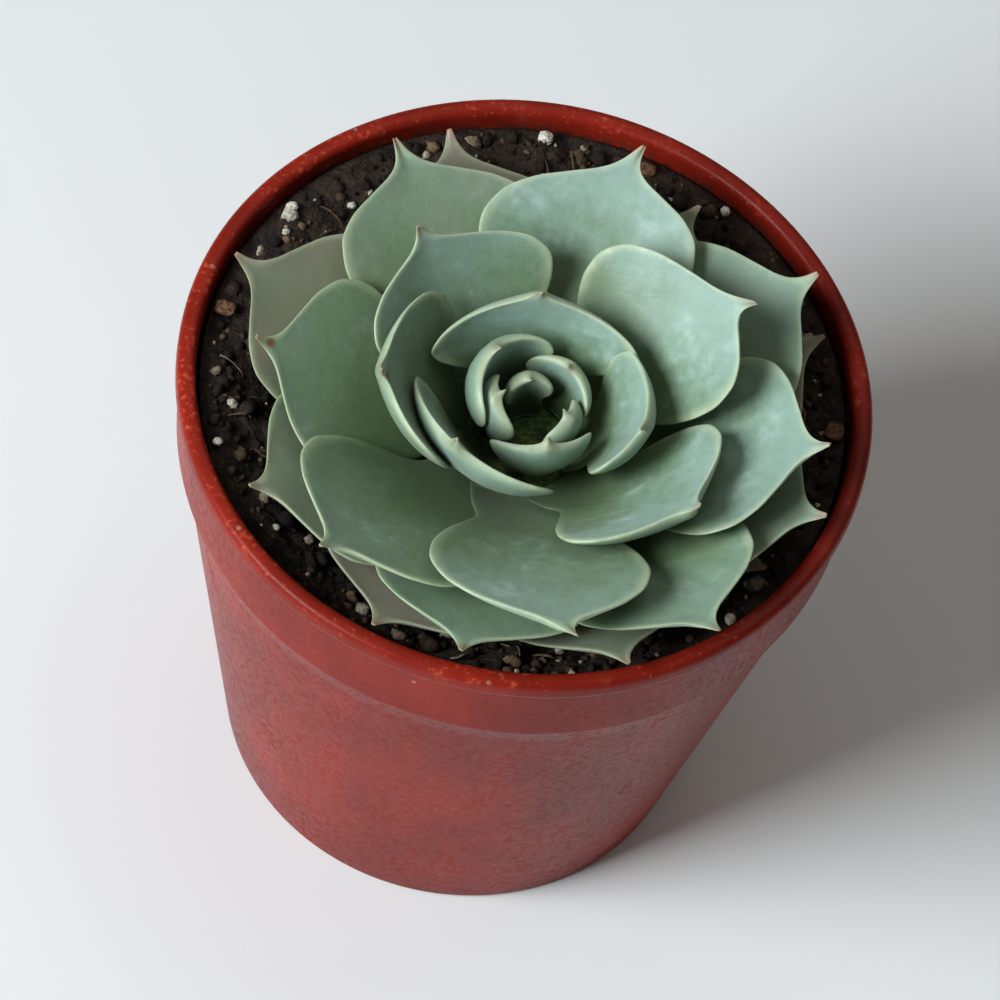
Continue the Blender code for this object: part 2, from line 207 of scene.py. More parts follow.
def lathe(profile: np.ndarray, around: int, x: float = 0.0, y: float = 0.0) -> np.ndarray:
    """Turn a profile of (radius, height) points round a vertical line into a stack of rings."""
    turns = np.linspace(0.0, math.tau, around, endpoint=False)
    radius, height = profile[:, :1], profile[:, 1:]
    return np.stack(
        (x + radius * np.cos(turns), y + radius * np.sin(turns), np.broadcast_to(height, (len(profile), around))),
        axis=-1,
    )


def rounded_profile(corners: list[tuple[float, float, float]], steps: int = 6) -> np.ndarray:
    """Round the corners of a line of (radius, height, rounding) corners.

    Each corner is cut back by its rounding along both sides and bridged by the quadratic curve
    that has the corner as its middle point; a corner with no rounding stays sharp.

    Args:
        corners: The corners, in order.
        steps: Pieces in each rounded corner.

    Returns:
        The profile's (radius, height) points.
    """
    places = np.array([(r, z) for r, z, _ in corners])
    line = [places[:1]]
    for before, here, after, corner in zip(places, places[1:], places[2:], corners[1:]):
        back, ahead = before - here, after - here
        reach = min(corner[2], 0.48 * float(np.hypot(*back)), 0.48 * float(np.hypot(*ahead)))
        a = here + back / np.hypot(*back) * reach
        b = here + ahead / np.hypot(*ahead) * reach
        t = np.linspace(0.0, 1.0, steps + 1)[:, None]
        line.append((1.0 - t) ** 2 * a + 2.0 * t * (1.0 - t) * here + t * t * b if reach > 0.0 else here[None])
    line.append(places[-1:])
    return np.vstack(line)


def closed_lumps(centres: np.ndarray, sizes: np.ndarray, rough: float, seed: int, around: int = 6) -> Skin:
    """Make many separate craggy lumps: small spheres of few faces, stretched, turned and jittered.

    Args:
        centres: The lumps' middles, shaped (count, 3).
        sizes: The lumps' half sizes, shaped (count, 3).
        rough: How far a corner's distance from the middle strays, as a share.
        seed: Random seed.
        around: Points round each lump.

    Returns:
        One skin of all the lumps, with a note called tint, random for each lump.
    """
    random = np.random.default_rng(seed)
    count = len(centres)
    levels = np.linspace(0.0, math.pi, 5)[1:-1]
    turns = np.linspace(0.0, math.tau, around, endpoint=False)
    ring = np.stack(
        (
            np.sin(levels)[:, None] * np.cos(turns + 0.4 * levels[:, None]),
            np.sin(levels)[:, None] * np.sin(turns + 0.4 * levels[:, None]),
            np.broadcast_to(np.cos(levels)[:, None], (3, around)),
        ),
        axis=-1,
    ).reshape(-1, 3)
    ball = np.vstack((ring, (0.0, 0.0, 1.0), (0.0, 0.0, -1.0)))
    shape = ball * (1.0 + rough * (random.random((count, len(ball), 1)) * 2.0 - 1.0)) * sizes[:, None, :]
    spin = random.normal(size=(count, 4))
    w, x, y, z = (spin / np.linalg.norm(spin, axis=1, keepdims=True)).T
    turn = np.stack(
        (
            1 - 2 * (y * y + z * z), 2 * (x * y - w * z), 2 * (x * z + w * y),
            2 * (x * y + w * z), 1 - 2 * (x * x + z * z), 2 * (y * z - w * x),
            2 * (x * z - w * y), 2 * (y * z + w * x), 1 - 2 * (x * x + y * y),
        ),
        axis=-1,
    ).reshape(count, 3, 3)
    points = np.einsum("nij,nvj->nvi", turn, shape) + centres[:, None, :]
    index = np.arange(3 * around).reshape(3, around)
    after = np.roll(index, -1, axis=1)
    quads = np.stack((index[:-1], index[1:], after[1:], after[:-1]), axis=-1).reshape(-1, 4)
    top, bottom = 3 * around, 3 * around + 1
    fans = np.vstack(
        (
            np.column_stack((index[0], after[0], np.full(around, top))),
            np.column_stack((after[-1], index[-1], np.full(around, bottom))),
        )
    )
    offset = (np.arange(count) * len(ball))[:, None, None]
    tint = np.repeat(random.random(count), len(ball))
    blocks = [(quads + offset).reshape(-1, 4), (fans + offset).reshape(-1, 3)]
    return Skin(points.reshape(-1, 3), blocks, {"tint": tint})


# Shader nodes


class Value:
    """A number socket that can be used in an expression; each operation adds a Math node."""

    def __init__(self, sheet: "Sheet", socket: bpy.types.NodeSocket) -> None:
        """Wrap a socket of a sheet's nodes."""
        self.sheet = sheet
        self.socket = socket

    def _math(self, operation: str, first: Any, second: Any) -> "Value":
        """Add a Math node.

        Args:
            operation: The Math node's operation.
            first: Its first value.
            second: Its second value.

        Returns:
            The node's result.
        """
        made = self.sheet.node("ShaderNodeMath", {"operation": operation}, {0: first, 1: second})
        return Value(self.sheet, made.outputs[0])

    def __add__(self, other: Any) -> "Value":
        """Return self + other."""
        return self._math("ADD", self, other)

    def __radd__(self, other: Any) -> "Value":
        """Return other + self."""
        return self._math("ADD", other, self)

    def __sub__(self, other: Any) -> "Value":
        """Return self - other."""
        return self._math("SUBTRACT", self, other)

    def __rsub__(self, other: Any) -> "Value":
        """Return other - self."""
        return self._math("SUBTRACT", other, self)

    def __mul__(self, other: Any) -> "Value":
        """Return self * other."""
        return self._math("MULTIPLY", self, other)

    def __rmul__(self, other: Any) -> "Value":
        """Return other * self."""
        return self._math("MULTIPLY", other, self)


class Sheet:
    """A material's node tree, written as expressions and ending in one Principled shader."""

    def __init__(self, name: str) -> None:
        """Start a material of that name."""
        self.material = bpy.data.materials.new(name)
        self.material.use_nodes = True
        self.tree = self.material.node_tree
        self.shader = self.tree.nodes["Principled BSDF"]

    def node(self, kind: str, settings: dict[str, Any], inputs: dict[Any, Any]) -> bpy.types.Node:
        """Add any node.

        Args:
            kind: The node's type.
            settings: Properties, set first; a ramp's stops are given as "stops".
            inputs: Values or links, by socket name or number.

        Returns:
            The node.
        """
        made = self.tree.nodes.new(kind)
        for label, setting in settings.items():
            if label == "stops":
                ramp = made.color_ramp
                while len(ramp.elements) < len(setting):
                    ramp.elements.new(0.5)
                for element, (place, colour) in zip(ramp.elements, setting):
                    element.position = place
                    element.color = colour
            else:
                setattr(made, label, setting)
        for label, value in inputs.items():
            self.feed(made.inputs[label], value)
        return made

    def feed(self, socket: bpy.types.NodeSocket, value: Any) -> None:
        """Link a socket, or set it where the value is plain."""
        if isinstance(value, Value):
            self.tree.links.new(value.socket, socket)
        elif isinstance(value, bpy.types.NodeSocket):
            self.tree.links.new(value, socket)
        else:
            socket.default_value = value

    def note(self, name: str) -> Value:
        """Read a value kept on the piece's points."""
        made = self.node("ShaderNodeAttribute", {"attribute_name": name}, {})
        return Value(self, made.outputs["Fac"])

    def place(self) -> bpy.types.NodeSocket:
        """Return the position on the object, in metres."""
        return self.node("ShaderNodeTexCoord", {}, {}).outputs["Object"]

    def noise(
        self, size_mm: float, detail: float = 2.0, stretch: tuple[float, float, float] = (1.0, 1.0, 1.0)
    ) -> Value:
        """Return cloudy noise, about 0 to 1.

        Args:
            size_mm: Size of a cloud.
            detail: Octaves of finer noise.
            stretch: Scale of the pattern along each axis.

        Returns:
            The noise.
        """
        where = self.node("ShaderNodeMapping", {}, {"Vector": self.place(), "Scale": stretch})
        scale = 1.0 / (size_mm * METRES_PER_MM)
        made = self.node(
            "ShaderNodeTexNoise", {}, {"Vector": where.outputs[0], "Scale": scale, "Detail": detail, "Roughness": 0.55}
        )
        return Value(self, made.outputs["Fac"])

    def cells(self, size_mm: float, randomness: float = 1.0) -> Value:
        """Return the distance to the nearest of many scattered points, as a share of their spacing."""
        scale = 1.0 / (size_mm * METRES_PER_MM)
        made = self.node(
            "ShaderNodeTexVoronoi", {}, {"Vector": self.place(), "Scale": scale, "Randomness": randomness}
        )
        return Value(self, made.outputs["Distance"])

    def ease(self, value: Any, low: float, high: float, start: float = 0.0, end: float = 1.0) -> Value:
        """Map low..high smoothly on to start..end, held beyond both."""
        made = self.node(
            "ShaderNodeMapRange",
            {"interpolation_type": "SMOOTHSTEP", "clamp": True},
            {"Value": value, "From Min": low, "From Max": high, "To Min": start, "To Max": end},
        )
        return Value(self, made.outputs["Result"])

    def blend(self, share: Any, first: Any, second: Any) -> bpy.types.NodeSocket:
        """Mix two colours: the first at 0, the second at 1."""
        made = self.node(
            "ShaderNodeMix", {"data_type": "RGBA", "clamp_factor": True}, {0: share, 6: first, 7: second}
        )
        return made.outputs[2]

    def bump(self, height: Value, depth_mm: float, strength: float = 1.0) -> bpy.types.NodeSocket:
        """Return the normal that a height makes, where 1 is depth_mm high."""
        made = self.node(
            "ShaderNodeBump", {}, {"Height": height, "Distance": depth_mm * METRES_PER_MM, "Strength": strength}
        )
        return made.outputs["Normal"]

    def dress(self, **sockets: Any) -> bpy.types.Material:
        """Set or link the shader's sockets, named with underscores, and return the material."""
        for label, value in sockets.items():
            self.feed(self.shader.inputs[label.replace("_", " ")], value)
        return self.material


class Slot(Enum):
    """The record's material slots."""

    POT = "pot_plastic"
    SOIL = "peat_soil"
    STEM = "stem_skin"
    YOUNG_LEAF = "young_leaf"
    GREEN_LEAF = "grey_green_leaf"
    OLD_LEAF = "old_leaf"
    PERLITE = "perlite"
    BARK = "bark"


@dataclass(frozen=True)
class LeafFinish:
    """Waxy leaf skin: green flesh under a pale blue bloom, a cream margin, a rosy point and painted shade towards the
    bases.
    """

    # depth is a painted shade: dark green laid on towards the leaves' bases and over the inner leaves
    depth: tuple = srgb(30, 46, 18)
    flesh: tuple = srgb(98, 122, 80)
    bloom: tuple = srgb(147, 174, 160)
    pale_bloom: tuple = srgb(176, 199, 190)
    margin: tuple = srgb(196, 208, 168)
    point: tuple = srgb(158, 124, 104)
    aged: tuple = srgb(126, 116, 100)
    bruise: tuple = srgb(120, 78, 48)

    def material(self) -> bpy.types.Material:
        """Write the material.

        Returns:
            The material shared by all leaves; what differs is read from notes on their points.
        """
        sheet = Sheet("leaf_skin")
        along, inset, from_tip = sheet.note("along"), sheet.note("inset"), sheet.note("from_tip")
        age, under, shade = sheet.note("age"), sheet.note("under"), sheet.note("shade")
        clouds = sheet.noise(5.0, 3.0)
        veins = sheet.noise(2.2, 3.0)
        powder = sheet.noise(0.9, 4.0)
        grain = sheet.noise(0.22, 2.0)
        # Share of bloom over flesh: partly the leaf's own bloom, partly painted shade, less towards the base and on
        # leaves that stand in shadow
        wax_and_shade_share = sheet.ease(along + (clouds - 0.5) * 0.7 + (powder - 0.5) * 0.3 - age * 0.25, 0.16, 0.82)
        wax_and_shade_share = wax_and_shade_share * sheet.note("wax")
        colour = sheet.blend(wax_and_shade_share, self.flesh, self.bloom)
        dusted = sheet.ease(clouds + (powder - 0.5) * 0.4, 0.56, 0.78) * wax_and_shade_share
        colour = sheet.blend(dusted * 0.6, colour, self.pale_bloom)
        rubbed = sheet.ease(powder, 0.60, 0.72) * sheet.ease(clouds, 0.62, 0.40)
        colour = sheet.blend(rubbed * 0.35, colour, self.flesh)
        colour = sheet.blend(sheet.ease(grain, 0.60, 0.75) * 0.18, colour, self.pale_bloom)
        colour = sheet.blend(sheet.ease(age + (clouds - 0.5) * 0.5, 0.60, 0.98) * 0.85, colour, self.aged)
        rim = sheet.ease(inset + (powder - 0.5) * 0.7 + (veins - 0.5) * 1.2 + age * 0.25, 1.25, 0.05)
        rim = rim * sheet.ease(along, 0.25, 0.5) * sheet.ease(veins + (clouds - 0.5) * 0.6, 0.25, 0.62, 0.45, 1.0)
        colour = sheet.blend(rim * (1.0 - 0.55 * age) * 0.8, colour, self.margin)
        tip = sheet.ease(from_tip, 1.5, 0.1) * sheet.ease(inset, 1.2, 0.3)
        colour = sheet.blend(tip * (0.35 + 0.5 * age), colour, self.point)
        # Painted shade: the depth colour over the shade note, darkest at the bases of the inner leaves
        colour = sheet.blend(sheet.ease(shade, 0.0, 1.0) * 0.92, colour, self.depth)
        colour = sheet.blend(under * 0.35, colour, self.flesh)
        colour = sheet.blend(sheet.note("blemish"), colour, self.bruise)
        height = clouds * 0.45 + powder * 0.3 + grain * 0.1
        return sheet.dress(
            Base_Color=colour,
            Roughness=sheet.ease(powder + (grain - 0.5) * 0.5, 0.3, 0.7, 0.42, 0.62),
            Normal=sheet.bump(height, 0.16, 0.7),
            Subsurface_Weight=0.12,
            Subsurface_Radius=(0.6, 1.0, 0.35),
            Subsurface_Scale=0.0012,
            Sheen_Weight=0.12,
            Sheen_Roughness=0.45,
        )


@dataclass(frozen=True)
class PotFinish:
    """Injection-moulded terracotta-red plastic with dust, scuffs and soil smears near the rim."""

    body: tuple = srgb(146, 35, 20)
    deep: tuple = srgb(122, 28, 16)
    worn: tuple = srgb(190, 78, 48)
    dust: tuple = srgb(188, 168, 146)
    smear: tuple = srgb(52, 36, 26)

    def material(self) -> bpy.types.Material:
        """Write the material.

        Returns:
            The pot's material.
        """
        sheet = Sheet("pot_plastic_skin")
        height, inward = sheet.note("height"), sheet.note("inward")
        clouds = sheet.noise(14.0, 3.0)
        streaks = sheet.noise(3.0, 4.0, (1.0, 1.0, 0.25))
        fine = sheet.noise(0.5, 3.0)
        colour = sheet.blend(sheet.ease(clouds + (streaks - 0.5) * 0.5, 0.35, 0.7), self.deep, self.body)
        lip = sheet.ease(height, 46.6, 48.0)
        scuffed = sheet.ease(fine + (clouds - 0.5) * 0.6, 0.56, 0.72)
        colour = sheet.blend(lip * scuffed * 0.6 + scuffed * 0.05, colour, self.worn)
        dusty = sheet.ease(streaks + (fine - 0.5) * 0.6, 0.58, 0.80)
        colour = sheet.blend(dusty * 0.05, colour, self.dust)
        near_soil = sheet.ease(height, 45.6, 47.4, 1.0, 0.0) * inward
        colour = sheet.blend(near_soil * sheet.ease(fine + (streaks - 0.5) * 0.6, 0.36, 0.6), colour, self.smear)
        specks = sheet.ease(sheet.cells(1.7), 0.16, 0.08) * sheet.ease(height, 40.0, 48.0, 0.12, 1.0)
        colour = sheet.blend(specks * sheet.ease(clouds, 0.48, 0.62) * 0.85, colour, self.dust)
        return sheet.dress(
            Base_Color=colour,
            Roughness=sheet.ease(fine + dusty * 0.5, 0.3, 0.9, 0.30, 0.55),
            Normal=sheet.bump(fine * 0.4 + streaks * 0.6, 0.025, 0.5),
            Specular_IOR_Level=0.14,
        )


@dataclass(frozen=True)
class SoilFinish:
    """Dark moist peat with paler dry crumbs."""

    wet: tuple = srgb(22, 16, 11)
    peat: tuple = srgb(48, 36, 26)
    dry: tuple = srgb(92, 76, 60)

    def material(self) -> bpy.types.Material:
        """Write the material.

        Returns:
            The soil's material.
        """
        sheet = Sheet("peat_skin")
        lumps, fine = sheet.noise(1.6, 4.0), sheet.noise(0.35, 3.0)
        colour = sheet.blend(sheet.ease(lumps + (fine - 0.5) * 0.5, 0.36, 0.62), self.wet, self.peat)
        colour = sheet.blend(sheet.ease(fine + (lumps - 0.5) * 0.3, 0.60, 0.76) * 0.7, colour, self.dry)
        return sheet.dress(
            Base_Color=colour,
            Roughness=sheet.ease(fine, 0.35, 0.65, 0.72, 0.98),
            Normal=sheet.bump(lumps + fine * 0.5, 0.5, 1.0),
            Specular_IOR_Level=0.3,
        )


@dataclass(frozen=True)
class CrumbFinish:
    """Loose crumbs, each its own shade from black peat to dry brown, with a few pale grains."""

    name: str = "soil_crumb_skin"
    stops: tuple = (
        (0.0, srgb(18, 13, 9)),
        (0.45, srgb(44, 32, 23)),
        (0.72, srgb(84, 64, 46)),
        (0.88, srgb(122, 98, 72)),
        (0.95, srgb(196, 188, 168)),
    )
    grain_mm: float = 0.25
    depth_mm: float = 0.12

    def material(self) -> bpy.types.Material:
        """Write the material.

        Returns:
            The material, which reads each crumb's tint from its points.
        """
        sheet = Sheet(self.name)
        fine = sheet.noise(self.grain_mm, 3.0)
        ramp = sheet.node("ShaderNodeValToRGB", {"stops": self.stops}, {0: sheet.note("tint")})
        colour = sheet.blend(sheet.ease(fine, 0.35, 0.65) * 0.55, ramp.outputs[0], self.stops[0][1])
        return sheet.dress(
            Base_Color=colour, Roughness=0.92, Normal=sheet.bump(fine, self.depth_mm, 0.8), Specular_IOR_Level=0.3
        )


@dataclass(frozen=True)
class PlainFinish:
    """A grainy natural skin between two shades: perlite, bark or the stem's green."""

    name: str
    dark: tuple
    light: tuple
    cloud_mm: float
    grain_mm: float
    stretch: tuple[float, float, float] = (1.0, 1.0, 1.0)
    depth_mm: float = 0.1
    roughness: tuple[float, float] = (0.7, 0.95)

    def material(self) -> bpy.types.Material:
        """Write the material.

        Returns:
            The material.
        """
        sheet = Sheet(self.name)
        clouds = sheet.noise(self.cloud_mm, 3.0, self.stretch)
        grain = sheet.noise(self.grain_mm, 3.0, self.stretch)
        mixed = sheet.ease(clouds + (grain - 0.5) * 0.8, 0.35, 0.65)
        return sheet.dress(
            Base_Color=sheet.blend(mixed, self.dark, self.light),
            Roughness=sheet.ease(grain, 0.3, 0.7, *self.roughness),
            Normal=sheet.bump(clouds * 0.6 + grain, self.depth_mm, 0.9),
        )


def settle(piece: bpy.types.Object, material: bpy.types.Material, slot: Slot, *nodes: str) -> bpy.types.Object:
    """Dress a finished piece, tie it to the frame and report it.

    Args:
        piece: The piece.
        material: Its material.
        slot: The record's slot for the piece; not used.
        nodes: The CAD nodes that it stands for.

    Returns:
        The piece.
    """
    piece.data.materials.append(material)
    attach(piece, ROOT_BODY)
    if nodes:
        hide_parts(*nodes)
    LOG.info("%s: %d faces", piece.name, len(piece.data.polygons))
    return piece


# Pot


@dataclass
class Pot:
    """Round tapered nursery pot with a rim bead, a collar, a foot ring and drain holes."""

    height: float = 48.0
    rim_radius: float = 27.5
    base_radius: float = 19.0
    wall: float = 0.8
    rim_bead: float = 1.5
    collar_depth: float = 9.0
    collar_step: float = 0.6
    floor_lift: float = 1.6
    floor_thickness: float = 1.2
    foot_width: float = 2.4
    drain_radius: float = 2.0
    drain_ring_radius: float = 10.5
    drain_count: int = 6
    around: int = 240

    @property
    def shoulder(self) -> float:
        """Height of the step between the body and the collar."""
        return self.height - self.collar_depth

    def outer(self, height: float) -> float:
        """Radius of the body's outside: straight from the foot to just under the collar."""
        top = self.rim_radius - self.rim_bead / 2.0 - self.collar_step
        return self.base_radius + (top - self.base_radius) * height / self.shoulder

    def inner(self, height: float) -> float:
        """Radius of the inside: the body's wall, then the straighter collar."""
        body = self.outer(min(height, self.shoulder)) - self.wall
        share = max(0.0, (height - self.shoulder) / self.collar_depth)
        return body + (self.rim_radius - self.rim_bead - body) * share

    def profile(self) -> np.ndarray:
        """Return the section from the middle of the floor, up the inside and down the outside."""
        floor, bead, shoulder = self.floor_lift + self.floor_thickness, self.rim_bead / 2.0, self.shoulder
        corners = [
            (2.6, floor, 0.0),
            (12.9, floor, 0.0),
            (self.inner(floor), floor, 1.2),
            (self.inner(shoulder), shoulder, 2.0),
            (self.inner(shoulder + 5.0), shoulder + 5.0, 1.0),
            (self.rim_radius - 2.0 * bead, self.height, 0.75),
            (self.rim_radius, self.height, 0.75),
            (self.rim_radius, self.height - 2.1 * bead, 0.4),
            (self.rim_radius - 0.5 * bead, self.height - 2.7 * bead, 0.6),
            (self.rim_radius - bead, shoulder + 0.5, 0.5),
            (self.outer(shoulder) + 0.1, shoulder - 0.35, 0.5),
            (self.outer(shoulder - 2.0), shoulder - 2.0, 0.4),
            (self.outer(20.0), 20.0, 1.0),
            (self.outer(2.0), 2.0, 0.6),
            (self.base_radius, 0.0, 0.45),
            (self.base_radius - self.foot_width, 0.0, 0.4),
            (self.base_radius - self.foot_width - 0.5, self.floor_lift, 0.5),
            (12.9, self.floor_lift, 0.0),
            (2.6, self.floor_lift, 0.0),
        ]
        return rounded_profile(corners, 8)

    def drain_cutter(self, x: float, y: float, name: str) -> bpy.types.Object:
        """Make a plain round bar that cuts one drain hole.

        Args:
            x: The hole's place.
            y: The hole's place.
            name: The bar's name.

        Returns:
            The bar.
        """
        low, high = -self.floor_thickness, self.floor_lift + 3.0 * self.floor_thickness
        bar = np.array(((self.drain_radius, low), (self.drain_radius, high)))
        return closed_tube(lathe(bar, 32, x, y)).object(name)

    def build(self) -> bpy.types.Object:
        """Turn the pot, write its notes and cut the drain holes.

        Returns:
            The pot.
        """
        profile = self.profile()
        rings = lathe(profile, self.around)
        radius = np.hypot(rings[..., 0], rings[..., 1])
        turn = np.arctan2(rings[..., 1], rings[..., 0])
        loose = fade(2.0, self.height, rings[..., 2])
        oval = loose * (0.06 * np.sin(2.0 * turn + 0.8) + 0.03 * np.sin(5.0 * turn))
        rings[..., :2] *= (1.0 + oval / np.maximum(radius, 5.0))[..., None]
        top = int(np.argmax(profile[:, 1] + 1e-6 * np.arange(len(profile))))
        inward = np.broadcast_to((np.arange(len(profile)) <= top).astype(float)[:, None], radius.shape)
        pot = closed_tube(rings, {"height": rings[..., 2], "inward": inward}).object("nursery_pot")
        cutters = [self.drain_cutter(0.0, 0.0, "drain_bar_0")]
        for i in range(self.drain_count):
            angle = math.tau * i / self.drain_count
            x, y = self.drain_ring_radius * math.cos(angle), self.drain_ring_radius * math.sin(angle)
            cutters.append(self.drain_cutter(x, y, f"drain_bar_{i + 1}"))
        for bar in cutters:
            cut = pot.modifiers.new(bar.name, "BOOLEAN")
            cut.operation, cut.solver, cut.object = "DIFFERENCE", "EXACT", bar
        finished = bpy.data.meshes.new_from_object(pot.evaluated_get(bpy.context.evaluated_depsgraph_get()))
        pot.modifiers.clear()
        pot.data = finished
        for bar in cutters:
            bpy.data.objects.remove(bar, do_unlink=True)
        finished.materials.clear()
        finished.set_sharp_from_angle(angle=math.radians(50.0))
        return settle(pot, PotFinish().material(), Slot.POT, "pot")


# Stem and soil


@dataclass
class Stem:
    """Short thick stem with a domed growing tip."""

    radius: float = 4.3
    dome_height: float = 2.2
    top_below_rim: float = 0.0
    root_length: float = 12.0
    x: float = 0.9
    y: float = -3.9

    def top(self, pot: Pot) -> float:
        """Height of the growing tip."""
        return pot.height - self.top_below_rim

    def root(self, pot: Pot) -> float:
        """Height of the lower end, in the soil."""
        return self.top(pot) - self.dome_height - self.root_length

    def build(self, pot: Pot) -> bpy.types.Object:
        """Turn the stem: an elliptic dome over a straight side with rings of old leaf scars.

        Args:
            pot: The pot it stands in.

        Returns:
            The stem.
        """
        angle = np.radians(np.linspace(3.0, 90.0, 24))
        top, root = self.top(pot), self.root(pot)
        dome = np.column_stack((self.radius * np.sin(angle), top - self.dome_height * (1.0 - np.cos(angle))))
        height = np.linspace(top - self.dome_height - 0.3, root + 1.0, 40)
        scars = self.radius - 0.09 * (1.0 + np.cos(math.tau * height / 1.1))
        side = np.column_stack((scars, height))
        foot = np.array(((self.radius - 0.4, root + 0.25), (self.radius - 1.2, root)))
        rings = lathe(np.vstack((dome, side, foot)), 64, self.x, self.y)
        stem = closed_tube(rings).object("plant_stem")
        green = PlainFinish("stem_green", srgb(34, 52, 18), srgb(88, 108, 50), 1.5, 0.3, depth_mm=0.08)
        return settle(stem, green.material(), Slot.STEM, "stem")


